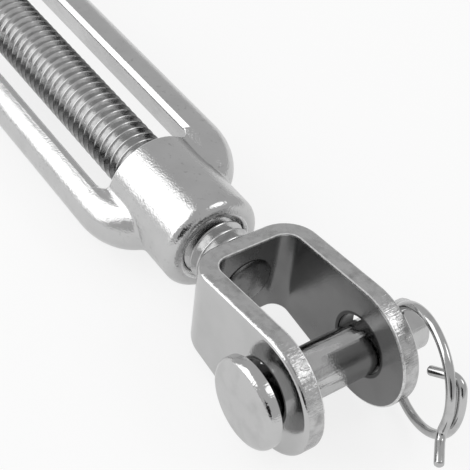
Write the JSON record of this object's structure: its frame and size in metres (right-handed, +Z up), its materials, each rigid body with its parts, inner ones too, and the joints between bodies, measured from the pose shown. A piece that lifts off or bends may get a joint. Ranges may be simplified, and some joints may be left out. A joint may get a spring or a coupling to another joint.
{
  "type": "shroud adjuster",
  "caption": "Open-body rigging screw: a twin-rail barrel draws two threaded studs in or out, each ending in a fork with a clevis pin held by a split ring.",
  "frame": {"origin": "the middle of the barrel, on the screw's axis, halfway between the two clevis pins", "axes": "+X along the screw's axis towards the right-hand-threaded end, +Y along the clevis pins, +Z up as it lies on the rims of its forks"},
  "size_m": [0.1462, 0.02, 0.0123],
  "materials": {
    "barrel": "polished",
    "right_stud": "rolled thread, bright",
    "right_fork": "polished",
    "right_clevis_pin": "polished",
    "right_split_ring": "bright drawn wire",
    "left_stud": "rolled thread, bright",
    "left_fork": "polished",
    "left_clevis_pin": "polished",
    "left_split_ring": "bright drawn wire"
  },
  "bodies": {
    "barrel": {"barrel": "barrel"},
    "right_stud": {"right_stud": "right_stud"},
    "right_fork": {"right_fork": "right_fork"},
    "right_pin": {"right_clevis_pin": "right_clevis_pin"},
    "right_ring": {"right_split_ring": "right_split_ring"},
    "left_stud": {"left_stud": "left_stud"},
    "left_fork": {"left_fork": "left_fork"},
    "left_pin": {"left_clevis_pin": "left_clevis_pin"},
    "left_ring": {"left_split_ring": "left_split_ring"}
  },
  "joints": [
    {"name": "right_stud_travel", "type": "slide", "parent": "barrel", "child": "right_stud", "axis": [1, 0, 0], "range_m": [-0.003, 0.03]},
    {"name": "right_screw_turn", "type": "hinge", "parent": "right_stud", "child": "right_fork", "pos_m": [0.0482, 0, 0], "axis": [1, 0, 0], "range_deg": [-1080, 10800]},
    {"name": "right_pin_turn", "type": "hinge", "parent": "right_fork", "child": "right_pin", "pos_m": [0.06084, 0, 0], "axis": [0, 1, 0], "range_deg": [-75, 80]},
    {"name": "right_ring_swing", "type": "hinge", "parent": "right_pin", "child": "right_ring", "pos_m": [0.06084, 0.00745, 0], "axis": [-0.1633, 0, 0.9866], "range_deg": [0, 190]},
    {"name": "left_stud_travel", "type": "slide", "parent": "barrel", "child": "left_stud", "axis": [-1, 0, 0], "range_m": [-0.003, 0.03]},
    {"name": "left_screw_turn", "type": "hinge", "parent": "left_stud", "child": "left_fork", "pos_m": [-0.0482, 0, 0], "axis": [1, 0, 0], "range_deg": [-1080, 10800]},
    {"name": "left_pin_turn", "type": "hinge", "parent": "left_fork", "child": "left_pin", "pos_m": [-0.06084, 0, 0], "axis": [0, -1, 0], "range_deg": [-75, 80]},
    {"name": "left_ring_swing", "type": "hinge", "parent": "left_pin", "child": "left_ring", "pos_m": [-0.06084, -0.00745, 0], "axis": [0.1633, 0, 0.9866], "range_deg": [0, 190]}
  ],
  "couplings": [
    {"joint": "right_stud_travel", "follows": "right_screw_turn", "m_per_rad": 0.00015915},
    {"joint": "left_stud_travel", "follows": "left_screw_turn", "m_per_rad": 0.00015915}
  ]
}
